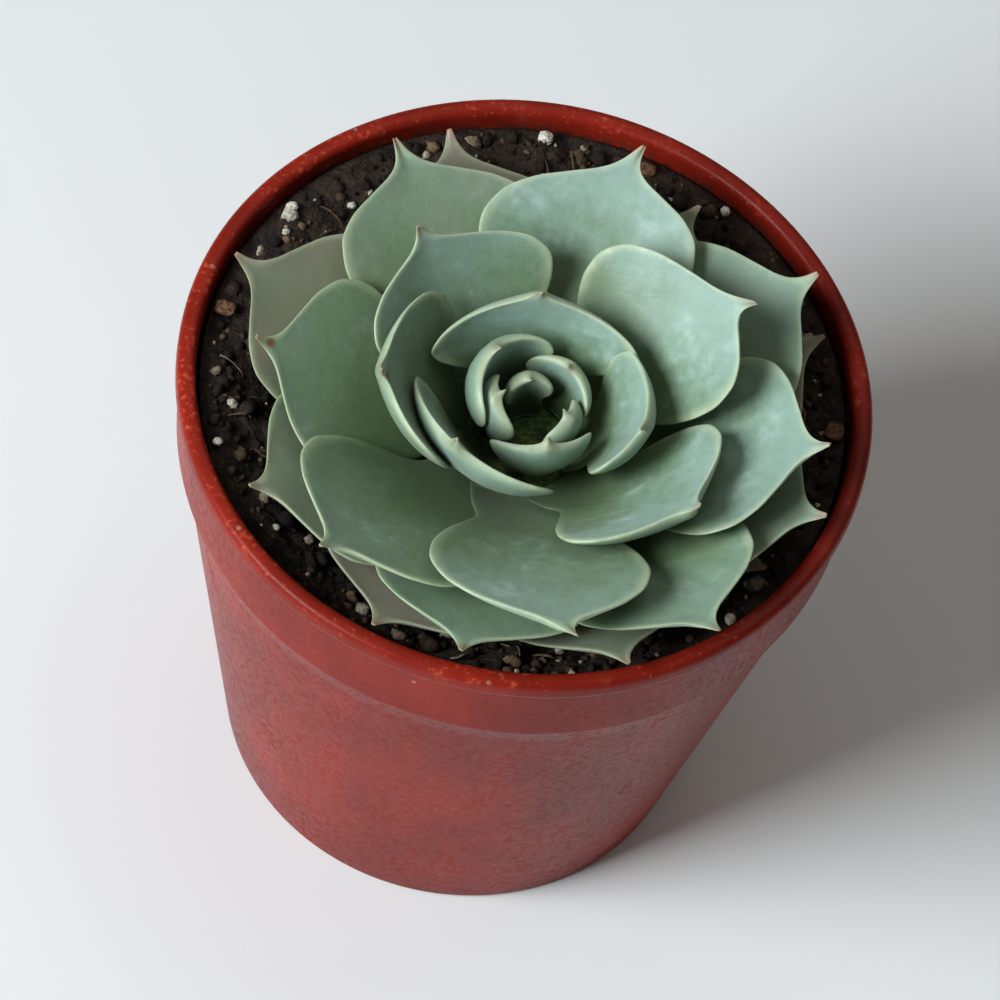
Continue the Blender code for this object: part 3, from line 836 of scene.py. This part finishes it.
@dataclass
class Soil:
    """Peat soil: level near the wall, dished under the rosette, with crumbs and fibres on it."""

    below_rim: float = 1.8
    shoulder_radius: float = 27.0
    dish_depth: float = 6.57
    dish_radius: float = 8.0
    around: int = 260
    crumb_count: int = 1500
    fibre_count: int = 46

    def height_at(self, x: np.ndarray, y: np.ndarray, pot: Pot, stem: Stem) -> np.ndarray:
        """Return the smooth ground's height: a dish eased in from the shoulder to the stem.

        Args:
            x: Places.
            y: Places.
            pot: The pot.
            stem: The stem in its middle.

        Returns:
            The heights.
        """
        away = np.hypot(x - stem.x, y - stem.y)
        share = np.clip((self.shoulder_radius - away) / (self.shoulder_radius - self.dish_radius), 0.0, 1.0)
        return pot.height - self.below_rim - self.dish_depth * share * share * (3.0 - 2.0 * share)

    def lumps(self, x: np.ndarray, y: np.ndarray) -> np.ndarray:
        """Return the ground's unevenness: broad clods, small clods and fine crumbs of noise."""
        broad = 0.45 * lattice_noise(x / 3.4, y / 3.4, 0.0 * x, 3)
        small = 0.35 * np.abs(lattice_noise(x / 1.3, y / 1.3, 0.0 * x, 4))
        fine = 0.16 * lattice_noise(x / 0.55, y / 0.55, 0.0 * x, 5)
        return broad + small + fine

    def build(self, pot: Pot, stem: Stem) -> list[bpy.types.Object]:
        """Build the soil's body, its crumbs and its fibres.

        Args:
            pot: The pot.
            stem: The stem.

        Returns:
            The pieces.
        """
        return [self.body(pot, stem), self.crumbs(pot, stem), self.fibres(pot, stem)]

    def body(self, pot: Pot, stem: Stem) -> bpy.types.Object:
        """Stack rings from the stem's socket, out over the uneven top, and down the pot's wall."""
        turns = np.linspace(0.0, math.tau, self.around, endpoint=False)
        circle = np.stack((np.cos(turns), np.sin(turns)), axis=-1)
        socket = np.array((stem.x, stem.y)) + (stem.radius + CLEARANCE) * circle
        wall = (pot.inner(pot.height - self.below_rim) - CLEARANCE) * circle
        share = np.linspace(0.0, 1.0, 90)[:, None, None]
        flat = (1.0 - share) * socket + share * wall
        calm = fade(0.0, 0.06, share[..., 0]) * (1.0 - fade(0.96, 1.0, share[..., 0]))
        height = self.height_at(flat[..., 0], flat[..., 1], pot, stem)
        height = height + calm * self.lumps(flat[..., 0], flat[..., 1])
        surface = np.concatenate((flat, height[..., None]), axis=-1)
        floor = np.full((1, self.around, 1), stem.root(pot) - CLEARANCE)
        start = np.concatenate((socket[None], floor), axis=-1)
        low = pot.floor_lift + pot.floor_thickness + CLEARANCE
        side = [(pot.inner(z) - CLEARANCE, z) for z in np.linspace(pot.shoulder, low + 1.2, 24)]
        side.append((pot.inner(low) - CLEARANCE - 1.3, low))
        rings = np.concatenate((start, surface, lathe(np.array(side), self.around)))
        piece = closed_tube(rings).object("soil_body")
        return settle(piece, SoilFinish().material(), Slot.SOIL, "soil")

    def crumbs(self, pot: Pot, stem: Stem) -> bpy.types.Object:
        """Scatter crumbs over the ground between the stem and the wall, thickest near the wall."""
        random = np.random.default_rng(21)
        reach = pot.inner(pot.height - self.below_rim) - 1.1
        away = reach * np.sqrt(0.16 + 0.84 * random.random(self.crumb_count) ** 0.8)
        turn = math.tau * random.random(self.crumb_count)
        x, y = away * np.cos(turn), away * np.sin(turn)
        size = 0.14 + 0.55 * random.random(self.crumb_count) ** 2.6
        sizes = size[:, None] * (0.7 + 0.6 * random.random((self.crumb_count, 3)))
        ground = self.height_at(x, y, pot, stem) + self.lumps(x, y)
        centres = np.column_stack((x, y, ground + 0.2 * size))
        piece = closed_lumps(centres, sizes, 0.28, 22).object("soil_crumbs")
        return settle(piece, CrumbFinish().material(), Slot.SOIL)

    def fibres(self, pot: Pot, stem: Stem) -> bpy.types.Object:
        """Lay fine peat fibres on the ground: thin tubes along short wandering paths."""
        random = np.random.default_rng(33)
        count, steps, around = self.fibre_count, 14, 5
        reach = pot.inner(pot.height - self.below_rim) - 1.8
        turn = math.tau * random.random(count)
        away = reach * (0.80 + 0.17 * random.random(count))
        length = 1.6 + 3.6 * random.random(count)
        heading = math.tau * random.random((count, 1)) + np.cumsum(random.normal(0.0, 0.22, (count, steps)), axis=1)
        stride = (length / steps)[:, None]
        x = (away * np.cos(turn))[:, None] + np.cumsum(np.cos(heading) * stride, axis=1)
        y = (away * np.sin(turn))[:, None] + np.cumsum(np.sin(heading) * stride, axis=1)
        shrink = np.minimum(1.0, reach / np.hypot(x, y))
        x, y = x * shrink, y * shrink
        arch = np.sin(np.linspace(0.0, math.pi, steps)) * (0.2 + 0.5 * random.random((count, 1)))
        z = self.height_at(x, y, pot, stem) + self.lumps(x, y) + 0.12 + arch
        path = np.stack((x, y, z), axis=-1)
        along = np.gradient(path, axis=1)
        along /= np.linalg.norm(along, axis=-1, keepdims=True)
        across = np.cross(along, (0.0, 0.0, 1.0))
        across /= np.maximum(np.linalg.norm(across, axis=-1, keepdims=True), 1e-6)
        upward = np.cross(across, along)
        ring = np.linspace(0.0, math.tau, around, endpoint=False)[:, None]
        thick = (0.05 + 0.07 * random.random((count, 1, 1, 1))) * np.sin(np.linspace(0.35, 2.8, steps))[:, None, None]
        rings = path[:, :, None] + thick * (
            np.cos(ring) * across[:, :, None] + np.sin(ring) * upward[:, :, None]
        )
        tint = np.repeat(0.66 + 0.26 * random.random(count), steps * around + 2).reshape(count, -1)
        skins = [closed_tube(one) for one in rings]
        size = len(skins[0].points)
        blocks = [block + i * size for i, skin in enumerate(skins) for block in skin.faces]
        points = np.vstack([skin.points for skin in skins])
        piece = Skin(points, blocks, {"tint": tint.ravel()}).object("peat_fibres")
        finish = CrumbFinish(name="peat_fibre_skin", grain_mm=0.4, depth_mm=0.03)
        return settle(piece, finish.material(), Slot.SOIL)


@dataclass
class Grains:
    """Loose perlite grains and bark chips, each inside its own CAD solid's box."""

    perlite_count: int = 5
    bark_count: int = 3

    def build(self) -> list[bpy.types.Object]:
        """Shape each grain as a bumpy closed ball or a fibrous rounded chip.

        Returns:
            The pieces.
        """
        white = PlainFinish("perlite_skin", srgb(176, 170, 152), srgb(226, 222, 208), 0.5, 0.14, depth_mm=0.15)
        brown = PlainFinish(
            "bark_skin", srgb(54, 34, 22), srgb(128, 88, 58), 0.5, 0.12, (1.0, 1.0, 4.0), depth_mm=0.12
        )
        perlite, bark = white.material(), brown.material()
        made = []
        for i in range(1, self.perlite_count + 1):
            piece = self.lump(f"perlite_{i}", 2.0, 0.16, 40 + i).object(f"perlite_grain_{i}")
            made.append(settle(piece, perlite, Slot.PERLITE, f"perlite_{i}"))
        for i in range(1, self.bark_count + 1):
            piece = self.lump(f"bark_chip_{i}", 3.6, 0.07, 60 + i).object(f"bark_piece_{i}")
            made.append(settle(piece, bark, Slot.BARK, f"bark_chip_{i}"))
        return made

    def lump(self, node: str, squareness: float, rough: float, seed: int) -> Skin:
        """Fill a node's box with a superellipsoid whose distance from its middle strays with noise.

        Args:
            node: The CAD node.
            squareness: 2 for a ball; more for a boxier shape.
            rough: How far the surface strays, as a share.
            seed: Random seed.

        Returns:
            The skin.
        """
        low, high = (np.array(corner) / METRES_PER_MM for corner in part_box(node))
        level = np.linspace(0.0, math.pi, 30)[1:-1, None]
        turn = np.linspace(0.0, math.tau, 44, endpoint=False)[None]
        way = np.stack(
            (np.sin(level) * np.cos(turn), np.sin(level) * np.sin(turn), np.cos(level) + 0.0 * turn), axis=-1
        )
        reach = np.sum(np.abs(way) ** squareness, axis=-1) ** (-1.0 / squareness)
        x, y, z = np.moveaxis(way, -1, 0)
        stray = lattice_noise(2.2 * x, 2.2 * y, 2.2 * z, seed) + 0.5 * lattice_noise(5.0 * x, 5.0 * y, 5.0 * z, seed)
        half = (high - low) / 2.0
        return closed_tube((low + high) / 2.0 + way * half * (reach * (0.92 + rough * stray))[..., None])


# Rosette


@dataclass(frozen=True)
class Growth:
    """How one leaf departs from the regular spiral: degrees, a share and a share of its half width."""

    turn: float = 0.0
    stretch: float = 1.0
    rise: float = 0.0
    bend: float = 0.0
    skew: float = 0.0


@dataclass
class Rosette:
    """Spiral of fleshy pointed leaves round the stem.

    Outlines are shares of the half width by share of the length. The bloom table gives how much bloom a leaf keeps,
    partly its own bloom and partly painted shade on the leaves that stand in shadow; unrolled is how far its sides
    fall away in millimetres, and bruises gives a mark's share of the length, share of the half width and radius in
    millimetres.
    """

    leaf_count: int = 31
    dome_leaf_count: int = 10
    first_turn: float = 117.1
    turn_step: float = -136.7
    longest: float = 22.3
    shortest: float = 3.2
    widest: float = 17.4
    narrowest: float = 3.0
    edge: float = 0.72
    middle: float = 1.3
    neck: float = 0.6
    young_swelling: float = 0.9
    young_until: float = 16.0
    drop: float = 0.187
    neck_width: float = 0.19
    bud_neck_width: float = 0.7
    neck_beside_bud: float = 0.5
    margin_lift: float = 0.30
    young_margin_lift: float = -0.10
    tip_upturn: float = 0.25
    flow: float = 0.10
    margin_wave: float = 0.018
    lean: float = 14.0
    lean_towards: float = -35.0
    lean_fades_at: float = 12.0
    lean_fade_spread: float = 1.1
    rise_places: tuple = (0, 4, 8, 10, 12, 14, 16, 20, 30)
    rises: tuple = (86.0, 78.0, 72.0, 54.0, 41.5, 34.5, 29.5, 25.7, 17.4)
    bud_bend: float = 46.0
    outer_bend: float = -4.0
    outer_bend_from: float = 12.0
    outline: tuple = (
        (0.0, 0.19), (0.12, 0.25), (0.26, 0.54), (0.4, 0.83), (0.51, 0.96), (0.6, 1.0),
        (0.7, 0.93), (0.78, 0.73), (0.84, 0.44), (0.88, 0.23), (0.91, 0.13), (0.945, 0.07), (1.0, 0.02),
    )
    young_outline: tuple = (
        (0.0, 0.19), (0.12, 0.25), (0.26, 0.54), (0.4, 0.83), (0.51, 0.96), (0.6, 1.0),
        (0.7, 0.93), (0.78, 0.73), (0.84, 0.44), (0.88, 0.23), (0.91, 0.13), (0.945, 0.07), (1.0, 0.02),
    )
    stations: int = 60
    around: int = 48
    odd: dict[int, Growth] = field(
        default_factory=lambda: {
            1: Growth(stretch=1.3, rise=-8.0),
            2: Growth(stretch=1.3, rise=15.0),
            3: Growth(stretch=1.45),
            4: Growth(turn=-10.0, stretch=1.15, rise=4.0),
            5: Growth(stretch=1.15, rise=12.0, bend=8.0),
            6: Growth(stretch=1.15, rise=-3.0, bend=4.0),
            7: Growth(turn=-14.0, stretch=1.2, rise=-3.0, skew=-0.6),
            8: Growth(turn=-2.0, stretch=1.12, rise=-12.0, bend=-6.0),
            9: Growth(turn=-2.0, stretch=0.86, rise=-6.0, bend=8.0),
            10: Growth(stretch=1.14, rise=-8.2),
            11: Growth(stretch=0.94, rise=-5.2, skew=0.3),
            12: Growth(turn=-9.0, stretch=1.03, rise=1.0, skew=-0.5),
            13: Growth(turn=4.0, stretch=1.24, rise=-4.2, bend=-8.0, skew=0.3),
            14: Growth(turn=-3.0, stretch=0.82, rise=6.0, bend=6.0, skew=0.1),
            15: Growth(turn=-5.0, stretch=1.05, rise=-0.6),
            16: Growth(turn=8.5, stretch=1.02, rise=-3.2),
            17: Growth(turn=-4.0, stretch=1.02, rise=0.8, skew=-0.25),
            18: Growth(stretch=1.1, rise=-0.9),
            19: Growth(turn=5.0, stretch=0.9, rise=-1.1),
            20: Growth(stretch=1.05),
            21: Growth(turn=4.0, stretch=0.965, rise=-1.6),
            22: Growth(turn=-2.0, stretch=1.04, skew=0.15),
            23: Growth(stretch=0.98),
            24: Growth(stretch=0.94, rise=-0.5),
            25: Growth(turn=-5.0, stretch=0.94, rise=1.3, skew=-0.2),
            26: Growth(stretch=0.91, rise=-0.1),
            27: Growth(stretch=1.06),
            28: Growth(turn=7.0, stretch=0.98, rise=-1.1),
            29: Growth(turn=-1.0, stretch=0.85, rise=-0.5),
            30: Growth(turn=2.0, stretch=1.08),
            31: Growth(turn=5.0, stretch=0.8, rise=-0.8),
        }
    )
    # Bloom kept on each leaf: partly its own bloom, partly painted shade, set lower on the leaves that stand in shadow
    wax_and_painted_shade: dict[int, float] = field(
        default_factory=lambda: {
            11: 0.5, 13: 0.7, 14: 0.8, 16: 0.4, 18: 0.6, 19: 0.35, 20: 0.65, 21: 0.5, 22: 0.5, 23: 0.6,
            24: 0.35, 25: 0.4, 26: 0.4, 27: 0.25, 28: 0.4, 29: 0.3, 30: 0.35, 31: 0.3,
        }
    )
    unrolled: dict[int, float] = field(default_factory=lambda: {9: 2.0, 8: 0.6})
    bruises: dict[int, tuple[float, float, float]] = field(
        default_factory=lambda: {11: (0.90, 0.5, 0.5), 19: (0.93, -0.2, 0.6)}
    )

    def swell(self, order: int, smallest: float, largest: float, middle: float, spread: float) -> float:
        """Grow a size along an S-shaped curve with a leaf's order from the bud."""
        return smallest + (largest - smallest) / (1.0 + math.exp(-(order - middle) / spread))

    def base(self, order: int, pot: Pot, stem: Stem) -> tuple[float, float]:
        """Return the radius and height, on the stem's skin, where a leaf is attached."""
        radius = stem.radius * math.sqrt(min(1.0, (order + 0.6) / self.dome_leaf_count))
        inset = radius / stem.radius
        on_dome = stem.dome_height * (1.0 - math.sqrt(max(0.0, 1.0 - inset * inset)))
        below = self.drop * max(0.0, order + 0.6 - self.dome_leaf_count)
        return radius + CLEARANCE, stem.top(pot) - on_dome - below + CLEARANCE * (1.0 - inset)

    def midrib(self, order: int, length: float, turn: float, growth: Growth, start: tuple[float, float]) -> tuple:
        """Follow a midrib whose slope bends steadily upwards from its base to its tip.

        Args:
            order: The leaf's order from the bud.
            length: Its length.
            turn: Its direction round the stem, in degrees.
            growth: How it departs from the spiral.
            start: Radius and height of its base.

        Returns:
            Distances along it, radii, heights and slopes in radians.
        """
        lean = self.lean / (1.0 + math.exp((order - self.lean_fades_at) / self.lean_fade_spread))
        rise = float(np.interp(order, self.rise_places, self.rises)) + growth.rise
        rise -= lean * math.cos(math.radians(turn - self.lean_towards))
        share = min(1.0, order / self.outer_bend_from)
        bend = self.bud_bend + (self.outer_bend - self.bud_bend) * share + growth.bend
        along = np.linspace(0.0, 1.4 * length, 281)
        slope = np.radians(rise + bend * (np.minimum(along / length, 1.1) - 0.5))
        middle = (slope[1:] + slope[:-1]) / 2.0
        radii = start[0] + np.concatenate(([0.0], np.cumsum(np.cos(middle) * along[1])))
        heights = start[1] + np.concatenate(([0.0], np.cumsum(np.sin(middle) * along[1])))
        return along, radii, heights, slope

    def leaf(self, order: int, pot: Pot, stem: Stem) -> Skin:
        """Shape one leaf.

        The upper face lies on the surface that the midrib sweeps round the stem, unrolled as a cone,
        so a leaf wraps the leaves inside it. Its section is a rounded lens: a superellipse whose
        thickness falls from the middle to a blunt margin. The margin of a grown leaf lifts a little,
        and its point is a short spine that turns up. Young leaves are thicker, plainly pointed and
        flat at the margin. The leaves beside the bud have broad necks, and an unrolled leaf's sides
        fall away from the midrib by a distance that grows with the square of the distance from it.

        Args:
            order: The leaf's order from the bud.
            pot: The pot.
            stem: The stem.

        Returns:
            The leaf's skin with its notes.
        """
        growth = self.odd.get(order + 1, Growth())
        turn = self.first_turn + self.turn_step * order + growth.turn
        length = growth.stretch * self.swell(order, self.shortest, self.longest, 8.0, 2.4)
        half_width = 0.5 * self.swell(order, self.narrowest, self.widest, 4.8, 1.7)
        along, radii, heights, slope = self.midrib(order, length, turn, growth, self.base(order, pot, stem))
        thin = min(1.0, 0.35 + length / self.longest)
        neck = max(self.neck_width, self.bud_neck_width * (1.0 - order / self.dome_leaf_count))

        station = np.linspace(0.0, 1.0, self.stations)
        station = (station + 0.22 * np.sin(math.pi * station) * station)[:, None]
        angle = np.linspace(0.0, math.tau, self.around, endpoint=False)[None]
        across = np.sign(np.cos(angle)) * np.abs(np.cos(angle)) ** 0.8
        facing = np.sign(np.sin(angle)) * np.abs(np.sin(angle)) ** 0.8

        places, widths = zip(*self.outline)
        share = smooth_curve(places, widths, station)
        places, widths = zip(*self.young_outline)
        grown = float(fade(3.0, 9.0, np.array(order)))
        share = grown * share + (1.0 - grown) * smooth_curve(places, widths, station)
        share = np.where(station < 0.5, np.maximum(share, neck), share)
        beside_bud = 1.0 - float(fade(13.0, 18.0, np.array(order)))
        widening = np.maximum(0.0, self.neck_beside_bud - share) * (1.0 - fade(0.12, 0.34, station))
        share = share + beside_bud * widening
        level = 0.0 * across
        wave = 1.0 + self.margin_wave * lattice_noise(5.0 * station + 9.0 * (across > 0.0), level, level, 70 + order)
        half = half_width * share * wave

        body = np.sin(math.pi * np.minimum(1.0, station * 1.05 + 0.02)) ** 0.6
        thick = thin * (self.neck + (self.middle - self.neck) * body) * (1.0 - 0.75 * fade(0.90, 1.0, station))
        youth = 1.0 - min(1.0, order / self.young_until)
        thick = thick * (1.0 + self.young_swelling * youth * fade(0.30, 0.70, station))
        rim = min(self.edge / self.middle, 0.9)
        thick = thick * (rim + (1.0 - rim) * (1.0 - across ** 2))
        thick = np.minimum(thick, 0.5 * thick + 0.9 * half)
        lift = self.young_margin_lift + (self.margin_lift - self.young_margin_lift) * grown
        cup = lift * thin * across ** 2 * fade(0.35, 0.75, station) * (1.0 - fade(0.86, 0.97, station))
        flow = self.flow * thin * lattice_noise(station * 3.0, across * 1.3, level, 110 + order)
        spine = self.tip_upturn * thin * grown * fade(0.90, 1.02, station) ** 2
        depth = thick * (1.0 - facing) / 2.0 - cup - flow * fade(0.25, 0.6, station) - spine
        depth = depth + self.unrolled.get(order + 1, 0.0) * (across * share) ** 2 * fade(0.15, 0.6, station)
        side = across * half + growth.skew * half_width * station ** 5

        s = station * length
        radius = np.interp(s, along, radii)
        cosine = np.maximum(1e-4, np.abs(np.cos(np.interp(s, along, slope))))
        wrap = np.arctan(side * cosine / radius) / cosine
        cone = radius / cosine
        there = s + side ** 2 / (cone + np.sqrt(cone ** 2 + side ** 2))
        tilt = np.interp(there, along, slope)
        r = np.interp(there, along, radii) + depth * np.sin(tilt)
        z = np.interp(there, along, heights) - depth * np.cos(tilt)
        bearing = math.radians(turn) + wrap
        points = np.stack((stem.x + r * np.cos(bearing), stem.y + r * np.sin(bearing), z), axis=-1)

        grid = np.ones_like(points[..., 0])
        # Painted shade note: darkest at each leaf's base, fading towards the tip, stronger on the inner leaves deep in
        # the cup
        deepest = 1.0 - fade(0.0, 9.0, order + 0.0 * grid)
        shade = np.clip(1.0 - station * (1.5 - 0.35 * deepest) + 0.12 * deepest, 0.0, 1.0) * (0.55 + 0.45 * deepest)
        blemish = 0.0 * grid
        if order + 1 in self.bruises:
            far, aside, wide = self.bruises[order + 1]
            gap = np.hypot((station - far) * length, (across - aside) * half)
            blemish = 1.0 - fade(0.3 * wide, wide, gap) + 0.0 * grid
            blemish = blemish * (facing > -0.2)
        notes = {
            "along": station * grid,
            "inset": half * (1.0 - np.abs(across)) * grid,
            "from_tip": (1.0 - station) * length * grid,
            "under": fade(0.0, 1.0, -facing * grid),
            "age": order / (self.leaf_count - 1) * grid,
            "shade": shade * grid,
            "blemish": blemish,
            "wax": self.wax_and_painted_shade.get(order + 1, 1.0) * grid,
        }
        return closed_tube(points, notes)

    def slot(self, number: int) -> Slot:
        """Return the record's slot of a leaf, by its number."""
        if number <= 9:
            return Slot.YOUNG_LEAF
        return Slot.OLD_LEAF if number >= 23 else Slot.GREEN_LEAF

    def build(self, pot: Pot, stem: Stem) -> list[bpy.types.Object]:
        """Build every leaf from the bud outwards.

        Args:
            pot: The pot.
            stem: The stem.

        Returns:
            The leaves.
        """
        skin = LeafFinish().material()
        made = []
        for order in range(self.leaf_count):
            number = order + 1
            piece = self.leaf(order, pot, stem).object(f"rosette_leaf_{number:02d}")
            made.append(settle(piece, skin, self.slot(number), f"leaf_{number:02d}"))
        return made


# Studio


@dataclass
class Studio:
    """Pale floor, soft cool light from the left, and the camera."""

    elevation: float = 57.5
    roll: float = 13.07
    distance: float = 0.75
    span: float = 0.080
    aim: tuple[float, float, float] = (0.0, 0.0, 0.031)
    floor_size: float = 6.0

    def floor(self) -> None:
        """Lay the floor: one flat square with a faint unevenness in its paint."""
        half = self.floor_size / 2.0 / METRES_PER_MM
        corners = np.array(((-half, -half, 0.0), (half, -half, 0.0), (half, half, 0.0), (-half, half, 0.0)))
        mesh = bpy.data.meshes.new("floor")
        mesh.from_pydata((corners * METRES_PER_MM).tolist(), [], [(0, 1, 2, 3)])
        piece = bpy.data.objects.new("floor", mesh)
        bpy.context.scene.collection.objects.link(piece)
        sheet = Sheet("floor_paint")
        colour = sheet.blend(sheet.noise(60.0, 2.0), (0.80, 0.80, 0.79, 1.0), (0.84, 0.84, 0.83, 1.0))
        mesh.materials.append(sheet.dress(Base_Color=colour, Roughness=0.8))

    def light(self, name: str, place: tuple[float, float, float], size: float, power: float, tone: tuple) -> None:
        """Hang a square soft light that faces the plant.

        Args:
            name: The light's name.
            place: Where it hangs, in metres.
            size: Its side, in metres.
            power: Its power, in watts.
            tone: Its colour.
        """
        lamp = bpy.data.lights.new(name, "AREA")
        lamp.size, lamp.energy, lamp.color = size, power, tone
        holder = bpy.data.objects.new(name, lamp)
        holder.location = place
        holder.rotation_mode = "QUATERNION"
        holder.rotation_quaternion = (Vector((0.0, 0.0, 0.045)) - Vector(place)).to_track_quat("-Z", "Y")
        bpy.context.scene.collection.objects.link(holder)

    def world(self) -> None:
        """Fill the room with weak even light."""
        world = bpy.data.worlds.new("room")
        bpy.context.scene.world = world
        world.use_nodes = True
        ground = world.node_tree.nodes["Background"]
        ground.inputs["Color"].default_value = (1.0, 0.98, 0.92, 1.0)
        ground.inputs["Strength"].default_value = 0.10

    def camera(self) -> None:
        """Set the camera: look along the elevation at the aim, then roll about the line of sight."""
        angle = math.radians(self.elevation)
        back = Vector((0.0, -math.cos(angle), math.sin(angle)))
        lens = bpy.data.cameras.new("camera")
        lens.sensor_width = 36.0
        lens.lens = lens.sensor_width * self.distance / self.span
        lens.clip_start, lens.clip_end = 0.01, 20.0
        holder = bpy.data.objects.new("camera", lens)
        face = (-back).to_track_quat("-Z", "Y").to_matrix().to_4x4()
        place = Matrix.Translation(Vector(self.aim) + back * self.distance)
        holder.matrix_world = place @ face @ Matrix.Rotation(math.radians(self.roll), 4, "Z")
        bpy.context.scene.collection.objects.link(holder)
        bpy.context.scene.camera = holder

    def build(self) -> None:
        """Set up the floor, the lights, the world and the camera."""
        self.camera()
        self.floor()
        self.world()
        self.light("window", (-0.46, -0.33, 0.48), 0.34, 7.4, (0.88, 0.95, 1.0))
        self.light("ceiling", (0.10, 0.25, 0.75), 0.60, 0.9, (1.0, 0.99, 0.96))
        view = bpy.context.scene.view_settings
        view.view_transform = "Standard"
        view.look = "None"


def main() -> None:
    """Build the pot, the soil, the plant and the studio."""
    logging.basicConfig(level=logging.INFO, format="%(name)s %(message)s")
    Studio().build()
    pot, stem = Pot(), Stem()
    pot.build()
    stem.build(pot)
    Soil().build(pot, stem)
    Grains().build()
    Rosette().build(pot, stem)
    bpy.context.view_layer.update()


if __name__ == "__main__":
    main()
